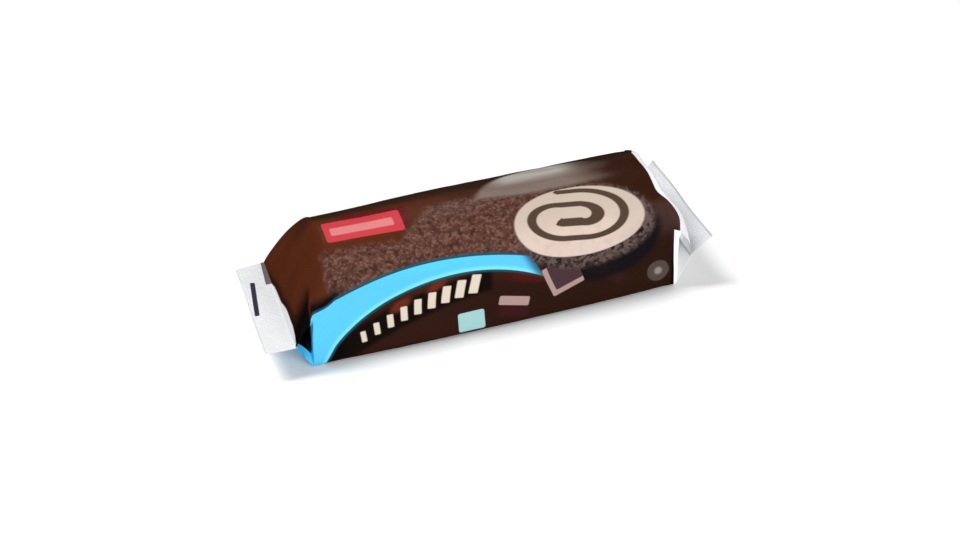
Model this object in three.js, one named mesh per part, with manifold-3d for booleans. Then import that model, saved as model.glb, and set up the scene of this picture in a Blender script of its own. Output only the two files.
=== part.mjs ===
// A swiss roll cake sold in a closed flow wrap: one sheet of film round the cake, sealed
// along the base by a long seam and across each end by a crimped fin.
// The closed pack is one solid. X runs along the roll, -Y is the front, +Z is up, and the
// pack stands on its flat base at z = 0.
import * as THREE from "three";
import { mergeVertices } from "three/addons/utils/BufferGeometryUtils.js";
import Module from "manifold-3d";

// Driving sizes, in millimetres.
const BODY_LENGTH = 210; // along the base, from fold to fold
const BODY_WIDTH = 70;
const BODY_HEIGHT = 61;
const SEAL_WIDTH = 76; // the crimped fins are a little wider than the body
const FIN_DEPTH = 16;
const FIN_THICKNESS = 1.2;
const CLOSED_THICKNESS = 1; // where the film runs into a fin

// The body's cross-section.
const BASE_CORNER = 3; // radius where the film turns from the base to a side
const SIDE_LEAN = THREE.MathUtils.degToRad(3); // the sides lean in towards the top
const SIDE_BOW = 0.8; // the film dips in between base and shoulder
const TOP_RISE = 23.5; // from the sides' upper edges to the middle of the rounded top
const TOP_SQUARENESS = 2.15; // 2 is half an ellipse; more has fuller shoulders

// The long seam under the base lies in a shallow channel, so the base stays flat.
const SEAM_WIDTH = 11;
const SEAM_CHANNEL_WIDTH = 17;
const SEAM_CHANNEL_DEPTH = 1;
const SEAM_THICKNESS = 0.6;

// Each end: where the top starts to slope down, where the sides fold in (at the top of the
// fold; its foot is further out by foldLean), where the film closes to the crimped fin, how
// high that is, how full the flap is, how far its front corner bulges outwards, how far the
// fin tips up, and how high it waves (below 0, its front corner bends down).
const BASE_HALF = BODY_LENGTH / 2;
const LEFT_END = {
  side: -1,
  slopeAt: BASE_HALF - 17,
  foldAt: BASE_HALF - 3,
  foldLean: 2.5,
  sealAt: BASE_HALF + 8,
  sealHeight: 18,
  flapFullness: -1,
  earBulge: 0.5,
  finTilt: THREE.MathUtils.degToRad(-2),
  finWave: 1.2,
};
const RIGHT_END = {
  side: 1,
  slopeAt: BASE_HALF - 8,
  foldAt: BASE_HALF - 1.5,
  foldLean: 1.5,
  sealAt: BASE_HALF + 6,
  sealHeight: 22,
  flapFullness: 3,
  earBulge: 3.5,
  finTilt: THREE.MathUtils.degToRad(45),
  finWave: -1.6,
};
const BROW = 0.16; // share of the slope over which it rounds off from the top

// Wrinkles that run from a fin up over the end flap and fade out on the top: the place
// across the flap (-1 front edge, 1 back edge), and the height of each.
const FLAP_WRINKLES = [
  [-0.8, 1.0],
  [-0.52, -0.9],
  [-0.24, 1.0],
  [0.08, -0.8],
  [0.36, 1.1],
  [0.68, -0.9],
];
const WRINKLE_SPREAD = 0.1;
const WRINKLE_REACH = 15; // how far they run on past the slope, along the top

// Crimps: ribs along X across the fin, and a zigzag cut edge.
const RIB_PITCH = 2.9;
const RIB_HEIGHT = 0.35;
const ZIGZAG = 0.7;

// How finely the film is divided.
const BASE_STEPS = 4;
const CORNER_STEPS = 3;
const LEG_STEPS = 5;
const TOP_STEPS = 16;
const BODY_STEPS = 9;
const WRINKLE_STEPS = 4;
const SLOPE_STEPS = 5;
const FOLD_STEPS = 9;

const { lerp } = THREE.MathUtils;
const share = (value, from, to) => (value - from) / (to - from);

// Half of one cross-section, from the middle of the base up to the middle of the top, as
// [y, z] points. tuck is how far the side is folded in, at tuckHeight.
function halfSection({ baseWidth, topWidth, bottom, top, open, tuck, tuckHeight, channel }) {
  const corner = Math.min(BASE_CORNER * open, (top - bottom) / 4);
  const rise = Math.min(TOP_RISE * open ** 1.4, (top - bottom) / 2);
  const baseHalf = baseWidth / 2;
  const sideTop = top - rise;
  const leanIn = Math.tan(SIDE_LEAN) * (sideTop - bottom) * open;
  const topHalf = topWidth / 2 - leanIn;
  const baseEdge = baseHalf - corner;
  const points = [
    [0, bottom + channel],
    [SEAM_CHANNEL_WIDTH / 2 - 1, bottom + channel],
    [SEAM_CHANNEL_WIDTH / 2, bottom],
  ];
  for (let i = 1; i <= BASE_STEPS; i++)
    points.push([lerp(SEAM_CHANNEL_WIDTH / 2, baseEdge, i / BASE_STEPS), bottom]);
  for (let i = 1; i <= CORNER_STEPS; i++) {
    const turn = (i / CORNER_STEPS) * (Math.PI / 2);
    const y = baseEdge + corner * Math.sin(turn);
    points.push([y, bottom + corner * (1 - Math.cos(turn))]);
  }
  // The side, or where it is folded in, its lower and upper leg.
  const foot = [baseHalf, bottom + corner];
  const head = [topHalf, sideTop];
  const tipShare = share(tuckHeight, foot[1], head[1]);
  const tip = [lerp(foot[0], head[0], tipShare) - tuck, tuckHeight];
  [[foot, tip, 0, tipShare], [tip, head, tipShare, 1]].forEach(([from, to, low, high]) => {
    for (let i = 1; i <= LEG_STEPS; i++) {
      const along = i / LEG_STEPS;
      const bow = SIDE_BOW * open * Math.sin(lerp(low, high, along) * Math.PI);
      points.push([lerp(from[0], to[0], along) - bow, lerp(from[1], to[1], along)]);
    }
  });
  // The top is half a superellipse, whose shoulders get squarer as the pack closes.
  const squareness = TOP_SQUARENESS / Math.sqrt(Math.max(open, 0.02));
  for (let i = 1; i <= TOP_STEPS; i++) {
    const turn = (i / TOP_STEPS) * (Math.PI / 2);
    const [out, up] = [Math.cos(turn), Math.sin(turn)];
    const reach = (out ** squareness + up ** squareness) ** (-1 / squareness);
    points.push([i < TOP_STEPS ? topHalf * reach * out : 0, sideTop + rise * reach * up]);
  }
  return points;
}

// Both halves of a section as one ring of points, from the middle of the base over the
// back, the top and the front.
function ring(section) {
  const half = halfSection(section);
  const front = half.slice(1, -1).map(([y, z]) => [-y, z]).reverse();
  return [...half, ...front];
}

// How far the top has come down at a share of its way to the seal: a rounded brow, then
// a full slope.
function drop(end, closing) {
  const span = Math.hypot(1, BROW) - BROW;
  const slope = (Math.hypot(closing, BROW) - BROW) / span;
  const height = BODY_HEIGHT - end.sealHeight - CLOSED_THICKNESS / 2;
  return height * slope - end.flapFullness * Math.sin(Math.PI * closing) * closing;
}

// One cross-section of an end, at x measured out from the middle of the pack.
function endSection(end, x, tuckShare) {
  const closing = share(x, end.slopeAt, end.sealAt);
  const past = Math.max(0, share(x, end.foldAt, end.sealAt));
  const top = BODY_HEIGHT - drop(end, closing);
  const bottom = (end.sealHeight - CLOSED_THICKNESS / 2) * past;
  const foldTop = BODY_HEIGHT - drop(end, share(end.foldAt, end.slopeAt, end.sealAt));
  return {
    baseWidth: lerp(BODY_WIDTH, SEAL_WIDTH, past),
    topWidth: lerp(BODY_WIDTH, SEAL_WIDTH, closing),
    bottom,
    top,
    open: 1 - closing,
    tuck: (foldTop / 2) * tuckShare,
    tuckHeight: lerp(bottom, top, end.sealHeight / foldTop),
    channel: SEAM_CHANNEL_DEPTH * (1 - past),
  };
}

// The section where an end begins, which is the body's.
const firstSection = (end) => endSection(end, end.slopeAt, 0);

// How high the wrinkles of an end stand at a share across its flap.
function wrinkle(end, x, across) {
  const reach = share(x, end.slopeAt - WRINKLE_REACH, end.sealAt);
  if (reach <= 0 || reach >= 1) return 0;
  const fade = Math.sin(Math.PI * reach ** 2.5);
  return FLAP_WRINKLES.reduce(
    (sum, [place, height]) =>
      sum + height * fade * Math.exp(-(((across - place) / WRINKLE_SPREAD) ** 2)),
    0,
  );
}

// A section's ring in space at one place of an end, with the fold's lean, the bulge of the
// flap's front corner, and the wrinkles.
function stationAt(end, x, section) {
  const closing = Math.max(0, 1 - section.open);
  const foldAt = share(end.foldAt, end.slopeAt, end.sealAt);
  const lean = end.foldLean * Math.min(closing / foldAt, (1 - closing) / (1 - foldAt));
  return ring(section).map(([y, z]) => {
    const height = share(z, section.bottom, section.top);
    const across = (2 * y) / section.topWidth;
    const onTop = THREE.MathUtils.smoothstep(height, 0.7, 1);
    const corner = Math.exp(-(((across + 0.85) / 0.3) ** 2));
    const ear = end.earBulge * Math.sin(Math.PI * closing) * corner * onTop;
    return new THREE.Vector3(
      end.side * (x + lean * (1 - height) + ear),
      y,
      z + onTop * wrinkle(end, x, across),
    );
  });
}

// The stations of one end, from the body outwards. They crowd at the fold, where the side
// turns in sharply.
function endStations(end) {
  const stations = [];
  for (let i = 0; i < WRINKLE_STEPS; i++) {
    const x = lerp(end.slopeAt - WRINKLE_REACH, end.slopeAt, i / WRINKLE_STEPS);
    stations.push(stationAt(end, x, firstSection(end)));
  }
  for (let i = 0; i <= SLOPE_STEPS; i++) {
    const x = lerp(end.slopeAt, end.foldAt, i / SLOPE_STEPS);
    stations.push(stationAt(end, x, endSection(end, x, 0)));
  }
  for (let i = 1; i <= FOLD_STEPS; i++) {
    const turn = (i / FOLD_STEPS) * (Math.PI / 2);
    const x = lerp(end.foldAt, end.sealAt, 1 - Math.cos(turn));
    stations.push(stationAt(end, x, endSection(end, x, Math.sin(turn))));
  }
  return stations;
}

// The straight stretch between the two ends. Its points glide along the section from the
// places they have at the left end to those at the right.
function bodyStations() {
  const stations = [];
  const from = WRINKLE_REACH - LEFT_END.slopeAt;
  const to = RIGHT_END.slopeAt - WRINKLE_REACH;
  const [left, right] = [LEFT_END, RIGHT_END].map((end) => ring(firstSection(end)));
  for (let i = 1; i < BODY_STEPS; i++) {
    const along = i / BODY_STEPS;
    const x = lerp(from, to, along);
    const station = left.map(([y, z], k) => {
      const [farY, farZ] = right[k];
      return new THREE.Vector3(x, lerp(y, farY, along), lerp(z, farZ, along));
    });
    stations.push(station);
  }
  return stations;
}

// A closed geometry through a row of rings with equal counts of points. Each end is closed
// by a strip between every point and its mate across the ring.
function loft(stations, mate) {
  const count = stations[0].length;
  const index = [];
  const face = (...corners) => {
    if (new Set(corners).size === 3) index.push(...corners);
  };
  for (let s = 0; s + 1 < stations.length; s++)
    for (let i = 0; i < count; i++) {
      const a = s * count + i;
      const b = s * count + ((i + 1) % count);
      face(a, b, a + count);
      face(b, b + count, a + count);
    }
  const last = (stations.length - 1) * count;
  for (let i = 0; i < count / 2; i++) {
    const next = i + 1;
    face(i, mate(i, count), next);
    face(next, mate(i, count), mate(next, count));
    face(last + i, last + next, last + mate(i, count));
    face(last + next, last + mate(next, count), last + mate(i, count));
  }
  const positions = stations.flat().flatMap((p) => [p.x, p.y, p.z]);
  return new THREE.BufferGeometry()
    .setAttribute("position", new THREE.Float32BufferAttribute(positions, 3))
    .setIndex(index);
}

// A crimped fin: ribs across it, a zigzag edge and a slight wave, tipped up about the seal.
function finGeometry(end) {
  const ribs = Math.round(SEAL_WIDTH / RIB_PITCH);
  const across = ribs * 2;
  const depths = [-0.6, 0, FIN_DEPTH / 2, FIN_DEPTH];
  const stations = depths.map((depth) => {
    const ribbed = depth > 0 ? RIB_HEIGHT : 0;
    const upper = [];
    const lower = [];
    for (let i = 0; i <= across; i++) {
      const y = lerp(-SEAL_WIDTH / 2, SEAL_WIDTH / 2, i / across);
      const rib = ribbed * (i % 2 ? 1 : -1);
      const cut = depth === FIN_DEPTH && i % 2 ? ZIGZAG : 0;
      const reach = depth - cut;
      const wave = end.finWave * Math.sin((y / SEAL_WIDTH) * 2.6 * Math.PI);
      const lift = rib / 2 + wave * Math.max(0, reach / FIN_DEPTH) ** 2;
      const out = reach * Math.cos(end.finTilt) - lift * Math.sin(end.finTilt);
      const up = reach * Math.sin(end.finTilt) + lift * Math.cos(end.finTilt);
      const x = end.side * (end.sealAt + out);
      const z = end.sealHeight + up;
      upper.push(new THREE.Vector3(x, y, z + FIN_THICKNESS / 2));
      lower.push(new THREE.Vector3(x, y, z - FIN_THICKNESS / 2));
    }
    return [...lower, ...upper.reverse()];
  });
  const mate = (i, count) => count - 1 - i;
  return loft(end.side > 0 ? stations : stations.reverse(), mate);
}

// The long seam: a flat strip in the base's channel.
function seamGeometry() {
  const length = 2 * BASE_HALF - 4;
  const depth = SEAM_CHANNEL_DEPTH + 0.3;
  const bottom = SEAM_CHANNEL_DEPTH - SEAM_THICKNESS;
  const strip = new THREE.BoxGeometry(length, SEAM_WIDTH, depth);
  strip.translate(0, 0, bottom + depth / 2);
  return strip;
}

const wasm = await Module();
wasm.setup();

// A closed geometry as a manifold solid.
function solidOf(geometry) {
  geometry.deleteAttribute("normal");
  geometry.deleteAttribute("uv");
  const merged = mergeVertices(geometry, 1e-4);
  return new wasm.Manifold(
    new wasm.Mesh({
      numProp: 3,
      vertProperties: new Float32Array(merged.attributes.position.array),
      triVerts: new Uint32Array(merged.index.array),
    }),
  );
}

// A manifold solid back as a geometry.
function geometryOf(solid) {
  const { vertProperties, triVerts, numProp } = solid.getMesh();
  const count = vertProperties.length / numProp;
  const positions = new Float32Array(count * 3);
  for (let i = 0; i < count; i++)
    positions.set(vertProperties.subarray(i * numProp, i * numProp + 3), i * 3);
  const geometry = new THREE.BufferGeometry()
    .setAttribute("position", new THREE.BufferAttribute(positions, 3))
    .setIndex(new THREE.BufferAttribute(new Uint32Array(triVerts), 1));
  geometry.computeVertexNormals();
  return geometry;
}

const film = loft(
  [...endStations(LEFT_END).reverse(), ...bodyStations(), ...endStations(RIGHT_END)],
  (i, count) => (count - i) % count,
);
const pieces = [finGeometry(LEFT_END), finGeometry(RIGHT_END), seamGeometry()];
const packSolid = pieces
  .reduce((whole, piece) => whole.add(solidOf(piece)), solidOf(film))
  .simplify(0.005);

const packGeometry = geometryOf(packSolid);
packGeometry.computeBoundingBox();
const middle = packGeometry.boundingBox.getCenter(new THREE.Vector3());
packGeometry.translate(-middle.x, -middle.y, 0);

const filmMaterial = new THREE.MeshStandardMaterial({
  color: new THREE.Color(0.17, 0.06, 0.035),
  roughness: 0.3,
  metalness: 0,
});

const pack = new THREE.Mesh(packGeometry, filmMaterial);
pack.name = "pack";

const swissRollPack = new THREE.Group();
swissRollPack.add(pack);

export default swissRollPack;
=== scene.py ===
"""A swiss roll in its closed flow wrap: the looks of the pack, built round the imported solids.

The film is one lofted mesh with the same named sizes as the solid, divided much finer and
with small creases on top. Its print is worked out by nodes in the film's own coordinates:
s runs along the pack and t round it, both in millimetres.
"""

import math

import bpy
import numpy as np
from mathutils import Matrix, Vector


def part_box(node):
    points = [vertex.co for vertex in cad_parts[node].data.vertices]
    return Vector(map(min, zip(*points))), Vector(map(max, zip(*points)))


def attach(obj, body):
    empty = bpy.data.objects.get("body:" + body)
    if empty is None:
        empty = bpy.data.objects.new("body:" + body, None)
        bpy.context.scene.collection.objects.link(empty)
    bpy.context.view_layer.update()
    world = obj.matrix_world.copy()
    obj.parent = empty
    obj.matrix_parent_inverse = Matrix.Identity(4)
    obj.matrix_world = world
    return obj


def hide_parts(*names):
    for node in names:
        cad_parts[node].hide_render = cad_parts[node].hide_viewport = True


MM = 0.001
RANDOM_SEED = 8

# The pack's driving sizes, in millimetres, as in the solid.
BODY_LENGTH = 210.0
BODY_WIDTH = 70.0
BODY_HEIGHT = 61.0
SEAL_WIDTH = 76.0
FIN_DEPTH = 16.0
BASE_CORNER = 3.0
SIDE_LEAN = math.radians(3)
SIDE_BOW = 0.8
TOP_RISE = 23.5
TOP_SQUARENESS = 2.15
CHANNEL_WIDTH = 17.0
CHANNEL_DEPTH = 1.0
SEAM_WIDTH = 11.0
BASE_HALF = BODY_LENGTH / 2
BROW = 0.16
LEFT_END = {
    "side": -1,
    "slope_at": BASE_HALF - 17,
    "fold_at": BASE_HALF - 3,
    "fold_lean": 2.5,
    "seal_at": BASE_HALF + 8,
    "seal_height": 18.0,
    "fullness": -1.0,
    "ear": 0.5,
    "fin_tilt": math.radians(-2),
    "fin_wave": 1.2,
}
RIGHT_END = {
    "side": 1,
    "slope_at": BASE_HALF - 8,
    "fold_at": BASE_HALF - 1.5,
    "fold_lean": 1.5,
    "seal_at": BASE_HALF + 6,
    "seal_height": 22.0,
    "fullness": 3.0,
    "ear": 3.5,
    "fin_tilt": math.radians(45),
    "fin_wave": -1.6,
}
FLAP_WRINKLES = ((-0.8, 1.0), (-0.52, -0.9), (-0.24, 1.0), (0.08, -0.8), (0.36, 1.1), (0.68, -0.9))
WRINKLE_SPREAD = 0.1
WRINKLE_REACH = 15.0
WRINKLE_SKEW = 2.5
CHANNEL_SLOPE = 1.0

# As an end closes, the crown flattens by this power of how open it is still. Its shoulders
# grow squarer until the end is only this open.
CROWN_FADE = 1.4
LEAST_OPEN = 0.02

# The ear: where it stands across the flap and how wide it is. It and the wrinkles begin at
# this share of an end's height.
EAR_PLACE = -0.85
EAR_SPREAD = 0.3
FLAP_FOOT = 0.7

# What the scene adds: a fin thinner than the solid's, with finer crimps, and a crimped seam.
# The fin's root reaches into the film's mouth. Its two faces close over the share FIN_CORNER
# of its half width, and it waves FIN_WAVES times across.
CLOSED_THICKNESS = 0.6
FIN_THICKNESS = 0.6
FIN_ROOT = 0.8
FIN_WAVES = 1.3
FIN_CORNER = 0.006
RIBS = 52
RIB_HEIGHT = 0.28
ZIGZAG = 0.7
SEAM_MARGIN = 3.0
SEAM_THICKNESS = 0.5
SEAM_CRIMP = 0.07
SEAM_CRIMP_PITCH = 1.6
SEAM_SLACK = 0.1

# How far the roll bellies the foot of the long sides out, and the heights where that ends
# and where it is full.
FOOT_BELLY = 2.4
BELLY_HEIGHTS = (26, 1)

# How far the top sags on the left and lifts on the right, where along the pack the one goes
# over into the other, and between which heights and distances from the middle it fades.
TOP_SAG = -1.3
TOP_LIFT = 0.9
SAG_TO_LIFT = (-95, 10)
LIFT_HEIGHTS = (30, 52)
LIFT_ENDS = (110, 88)

# How far the film slides round for each millimetre of lift and of belly, and where across the
# pack that fades out, at the back.
LIFT_SLIDE = 1.2
BELLY_SLIDE = 0.75
SLIDE_BACK = (34, 20)

# Soft waves in the film: height, length along the pack, share of the noise's steps round it,
# where in the noise they start, and the noise's seed.
SOFT_WAVES = (
    (0.34, 34, 0.25, (20, 3), 1),
    (0.16, 15, 0.5, (40, 9), 2),
    (0.05, 5.5, 1, (11, 5), 3),
)
SOFT_STRENGTH = 0.9
NOISE_CELLS = 64

# Creases that fan out from a fin over its flap: how many, and the ranges of their sizes. They
# drift sideways and widen as they run away from the fin.
FLAP_CREASES = 26
FLAP_CREASE_STARTS = (-36, 36)
FLAP_CREASE_DRIFT = 0.16
FLAP_CREASE_FAN = 0.002
FLAP_CREASE_LENGTHS = (10, 34)
FLAP_CREASE_HEIGHTS = (0.12, 0.42)
FLAP_CREASE_WIDTHS = (0.8, 1.5)
FLAP_CREASE_WIDENING = 0.06

# How strongly the left (-1) and the right (1) flap are creased.
CREASE_STRENGTH = {-1: 0.45, 1: 1.25}

# Tension lines that run from an end's fold into the long sides.
SIDE_CREASES = 7
SIDE_CREASE_STARTS = (8, 40)
SIDE_CREASE_LENGTHS = (14, 42)
SIDE_CREASE_SLANTS = (-0.45, 0.3)
SIDE_CREASE_HEIGHTS = (0.12, 0.34)
SIDE_CREASE_WIDTH = 1.3
SIDE_CREASE_WIDENING = 0.05
SIDE_CREASE_FADE_IN = (-1, 5)

# The form of a flap's crease: how sharp its ridge is, how it fades out, and over how many
# millimetres it rises at the fin.
CREASE_SHARPNESS = 1.5
CREASE_FADE = 1.2
CREASE_RISE = 2.0

# Heights between which the base ends, a side's creases start and a flap's creases start, the
# distances from the middle where a side begins, how far the creases under a flap reach, and
# how far from a seal the film is held flat.
BASE_HEIGHTS = (0.8, 5)
SIDE_HEIGHTS = (2, 8)
FLAP_HEIGHTS = (8, 20)
SIDE_FROM = (28, 33)
UNDER_REACH = 22
SEAL_HOLD = 2.5

# How finely the pieces are divided.
BASE_STEPS = 10
CORNER_STEPS = 5
LEG_STEPS = 16
TOP_STEPS = 60
BODY_STEPS = 180
WRINKLE_STEPS = 20
SLOPE_STEPS = 24
FOLD_STEPS = 40
FIN_STEPS = 14
RIB_STEPS = 8
SEAM_STEPS = 419
SEAM_ACROSS_STEPS = 20
BAKE_MARGIN = 0.004

# The camera: where it looks (millimetres, from the middle of the base), from how far, how
# far round and how high, and its lens.
LOOK_AT = (-5.0, -16.0, 25.0)
CAMERA_DISTANCE = 795.8
CAMERA_YAW = math.radians(19.15)
CAMERA_PITCH = math.radians(38.37)
LENS = 55.0

# The lights: name, place and size in metres, power in watts, and whether the film mirrors it.
LIGHTS = (
    ("key", (-0.9, 0.45, 2.0), (0.4, 1.4), 40, False),
    ("fill", (0.8, -1.95, 0.75), (1.4, 1.4), 31, False),
    ("sheen", (0.2, 1.2, 1.3), (0.8, 0.8), 0.8, True),
)
LIGHTS_AIM = (0, 0, 0.03)
SKY_STRENGTH = 0.49
FLOOR_SIZE = 6.0
FLOOR_GREY = 0.88

# The film's index of refraction, and how rough it is where it is printed and white.
FILM_IOR = 1.49
PRINTED_ROUGHNESS = 0.37
WHITE_ROUGHNESS = 0.35


def share(value, start, end):
    return (value - start) / (end - start)


def lerp(a, b, along):
    return a + (b - a) * along


def smoothstep(value, start, end):
    along = np.clip((value - start) / (end - start), 0, 1)
    return along * along * (3 - 2 * along)


# ---------------------------------------------------------------- the film's form


def half_section(section):
    """Half a cross-section, from the middle of the base to the middle of the top: (y, z)."""
    bottom, top, open_ = section["bottom"], section["top"], section["open"]
    corner = min(BASE_CORNER * open_, (top - bottom) / 4)
    rise = min(TOP_RISE * open_**CROWN_FADE, (top - bottom) / 2)
    side_top = top - rise
    lean_in = math.tan(SIDE_LEAN) * (side_top - bottom) * open_
    base_half = section["base_width"] / 2
    top_half = section["top_width"] / 2 - lean_in
    base_edge = base_half - corner
    channel = section["channel"]
    points = [(0, bottom + channel), (CHANNEL_WIDTH / 2 - CHANNEL_SLOPE, bottom + channel)]
    points.append((CHANNEL_WIDTH / 2, bottom))
    for i in range(1, BASE_STEPS + 1):
        points.append((lerp(CHANNEL_WIDTH / 2, base_edge, i / BASE_STEPS), bottom))
    for i in range(1, CORNER_STEPS + 1):
        turn = i / CORNER_STEPS * math.pi / 2
        points.append((base_edge + corner * math.sin(turn), bottom + corner * (1 - math.cos(turn))))
    foot = (base_half, bottom + corner)
    head = (top_half, side_top)
    tip_share = share(section["tuck_height"], foot[1], head[1])
    tip = (lerp(foot[0], head[0], tip_share) - section["tuck"], section["tuck_height"])
    for start, end, low, high in ((foot, tip, 0, tip_share), (tip, head, tip_share, 1)):
        for i in range(1, LEG_STEPS + 1):
            along = i / LEG_STEPS
            bow = SIDE_BOW * open_ * math.sin(lerp(low, high, along) * math.pi)
            points.append((lerp(start[0], end[0], along) - bow, lerp(start[1], end[1], along)))
    squareness = TOP_SQUARENESS / math.sqrt(max(open_, LEAST_OPEN))
    for i in range(1, TOP_STEPS + 1):
        turn = i / TOP_STEPS * math.pi / 2
        out, up = math.cos(turn), math.sin(turn)
        reach = (out**squareness + up**squareness) ** (-1 / squareness)
        points.append((top_half * reach * out if i < TOP_STEPS else 0, side_top + rise * reach * up))
    return np.array(points)


def ring(section):
    """The whole cross-section: middle of the base, back, top, front."""
    half = half_section(section)
    front = half[1:-1][::-1] * [-1, 1]
    return np.vstack([half, front])


def drop(end, closing):
    """How far the top has come down at a share of its way to the seal."""
    span = math.hypot(1, BROW) - BROW
    slope = (math.hypot(closing, BROW) - BROW) / span
    height = BODY_HEIGHT - end["seal_height"] - CLOSED_THICKNESS / 2
    return height * slope - end["fullness"] * math.sin(math.pi * closing) * closing


def end_section(end, x, tuck_share):
    """The cross-section of an end at x, measured out from the middle of the pack."""
    closing = share(x, end["slope_at"], end["seal_at"])
    past = max(0.0, share(x, end["fold_at"], end["seal_at"]))
    top = BODY_HEIGHT - drop(end, closing)
    bottom = (end["seal_height"] - CLOSED_THICKNESS / 2) * past
    at_fold = share(end["fold_at"], end["slope_at"], end["seal_at"])
    fold_top = BODY_HEIGHT - drop(end, at_fold)
    return {
        "base_width": lerp(BODY_WIDTH, SEAL_WIDTH, past),
        "top_width": lerp(BODY_WIDTH, SEAL_WIDTH, closing),
        "bottom": bottom,
        "top": top,
        "open": 1 - closing,
        "tuck": fold_top / 2 * tuck_share,
        "tuck_height": lerp(bottom, top, end["seal_height"] / fold_top),
        "channel": CHANNEL_DEPTH * (1 - past),
    }


def wrinkle(end, x, across):
    """How high the main wrinkles of an end stand at a share across its flap."""
    reach = share(x, end["slope_at"] - WRINKLE_REACH, end["seal_at"])
    if not 0 < reach < 1:
        return np.zeros_like(across)
    fade = math.sin(math.pi * reach**WRINKLE_SKEW)
    waves = 0
    for place, height in FLAP_WRINKLES:
        waves = waves + height * np.exp(-(((across - place) / WRINKLE_SPREAD) ** 2))
    return fade * waves


def station_at(end, x, section):
    """A section's ring in space at one place of an end, with lean, bulge and wrinkles."""
    outline = ring(section)
    y, z = outline[:, 0], outline[:, 1]
    closing = max(0.0, 1 - section["open"])
    fold_at = share(end["fold_at"], end["slope_at"], end["seal_at"])
    lean = end["fold_lean"] * min(closing / fold_at, (1 - closing) / (1 - fold_at))
    height = share(z, section["bottom"], section["top"])
    across = 2 * y / section["top_width"]
    on_top = smoothstep(height, FLAP_FOOT, 1)
    corner = np.exp(-(((across - EAR_PLACE) / EAR_SPREAD) ** 2))
    ear = end["ear"] * math.sin(math.pi * closing) * corner * on_top
    x_out = end["side"] * (x + lean * (1 - height) + ear)
    return np.stack([x_out, y, z + on_top * wrinkle(end, x, across)], 1)


def end_stations(end):
    """The rings of one end, from the body outwards, crowding at the sharp fold."""
    stations = []
    body_section = end_section(end, end["slope_at"], 0)
    for i in range(WRINKLE_STEPS):
        x = lerp(end["slope_at"] - WRINKLE_REACH, end["slope_at"], i / WRINKLE_STEPS)
        stations.append(station_at(end, x, body_section))
    for i in range(SLOPE_STEPS + 1):
        x = lerp(end["slope_at"], end["fold_at"], i / SLOPE_STEPS)
        stations.append(station_at(end, x, end_section(end, x, 0)))
    for i in range(1, FOLD_STEPS + 1):
        turn = i / FOLD_STEPS * math.pi / 2
        x = lerp(end["fold_at"], end["seal_at"], 1 - math.cos(turn))
        stations.append(station_at(end, x, end_section(end, x, math.sin(turn))))
    return stations


def body_stations():
    """The straight body's rings, whose points glide from the one end's spacing to the other's."""
    stations = []
    ends = [ring(end_section(end, end["slope_at"], 0)) for end in (LEFT_END, RIGHT_END)]
    start = WRINKLE_REACH - LEFT_END["slope_at"]
    finish = RIGHT_END["slope_at"] - WRINKLE_REACH
    for i in range(1, BODY_STEPS):
        along = i / BODY_STEPS
        outline = lerp(ends[0], ends[1], along)
        x = np.full(len(outline), lerp(start, finish, along))
        stations.append(np.column_stack([x, outline]))
    return stations


def film_grid():
    """The film as a grid of points: one row for each station, one column round the ring."""
    rows = end_stations(LEFT_END)[::-1] + body_stations() + end_stations(RIGHT_END)
    return np.array(rows)


def arc_lengths(points):
    """Each point's distance along a line of points from its first."""
    steps = np.linalg.norm(np.diff(points, axis=0), axis=1)
    return np.concatenate([[0], np.cumsum(steps)])


def film_places(grid):
    """The film's coordinates at each point of the grid, and the film's whole girth.

    t is the place round the film: 0 at the front base edge of the body, growing up and
    over the top. s is the place along it, carried from ring to ring at the same t.
    """
    columns = grid.shape[1]
    top = columns // 2
    front_edge = columns - 2 - BASE_STEPS
    middle = int(np.argmin(np.abs(grid[:, 0, 0])))
    rounds = [arc_lengths(np.vstack([outline, outline[:1]])) for outline in grid]
    girth = rounds[middle][-1]
    top_t = rounds[middle][front_edge] - rounds[middle][top]
    t = np.array([top_t + (lengths[top] - lengths[:-1]) * girth / lengths[-1] for lengths in rounds])
    s = np.zeros_like(t)
    s[middle] = grid[middle, :, 0]
    for direction in (1, -1):
        last = grid.shape[0] - 1 if direction > 0 else 0
        for row in range(middle, last, direction):
            after = row + direction
            # Both rings run down in t, and interp wants it rising.
            old_t, new_t = t[row][::-1], t[after][::-1]
            met = np.stack([np.interp(old_t, new_t, grid[after, ::-1, axis]) for axis in range(3)], 1)
            step = np.linalg.norm(met - grid[row, ::-1], axis=1)
            s[after] = np.interp(new_t, old_t, s[row][::-1] + direction * step)[::-1]
    return s, t, girth


def grid_normals(grid):
    """Outward normals of the film's grid."""
    along = np.gradient(grid, axis=0)
    round_ = np.roll(grid, -1, axis=1) - np.roll(grid, 1, axis=1)
    normals = np.cross(round_, along)
    lengths = np.linalg.norm(normals, axis=2, keepdims=True)
    return -normals / np.maximum(lengths, 1e-9)


# ---------------------------------------------------------------- creases in the film


def value_noise(x, y, seed):
    """Smooth noise between -1 and 1, one random value at each whole step of x and y."""
    rng = np.random.default_rng(seed)
    table = rng.uniform(-1, 1, (NOISE_CELLS, NOISE_CELLS))
    column, row = np.floor(x).astype(int), np.floor(y).astype(int)
    u, v = smoothstep(x - column, 0, 1), smoothstep(y - row, 0, 1)

    def corner(i, j):
        return table[(row + j) % NOISE_CELLS, (column + i) % NOISE_CELLS]

    low = lerp(corner(0, 0), corner(1, 0), u)
    high = lerp(corner(0, 1), corner(1, 1), u)
    return lerp(low, high, v)


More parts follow.
